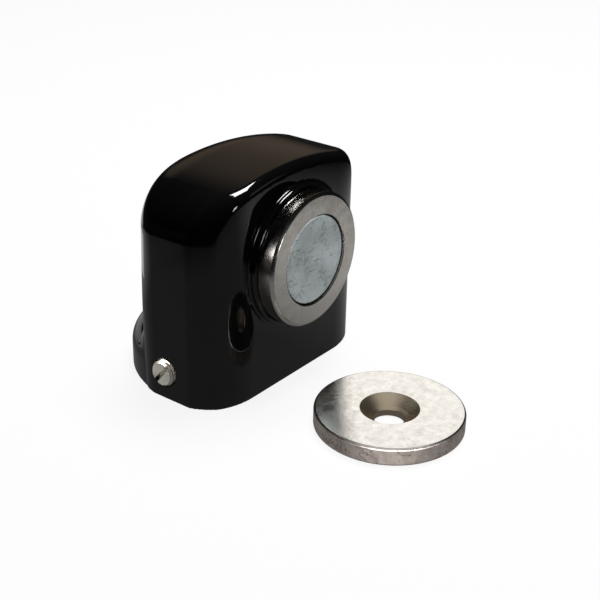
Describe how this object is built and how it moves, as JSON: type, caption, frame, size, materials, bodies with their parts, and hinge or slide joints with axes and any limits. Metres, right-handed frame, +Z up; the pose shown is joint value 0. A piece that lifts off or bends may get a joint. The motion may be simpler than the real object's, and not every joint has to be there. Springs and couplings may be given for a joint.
{
  "type": "magnetic door stop",
  "caption": "Floor-mounted magnetic door stop: arched black cast block holding a nickel-plated magnet cup, with a round countersunk strike plate for the door.",
  "frame": {"origin": "on the floor, at the middle of the round back of the block's base, where its mounting plate lies", "axes": "+Z up from the floor, -Y out of the magnet's face towards the door, +X to the right seen from the block's back"},
  "size_m": [0.0554, 0.0864, 0.0514],
  "materials": {
    "black_paint": "gloss black paint over die-cast zinc",
    "nickel_plate": "nickel plate, slightly mottled",
    "bright_nickel": "bright nickel plate",
    "magnet_zinc": "dull zinc plate, scuffed",
    "zinc_steel": "zinc-plated steel"
  },
  "bodies": {
    "root": {"body": "black_paint", "magnet_cup": "nickel_plate", "magnet": "magnet_zinc", "cup_screw": "zinc_steel", "set_screw": "bright_nickel", "mounting_plate": "zinc_steel", "strike_plate": "nickel_plate"}
  },
  "joints": []
}
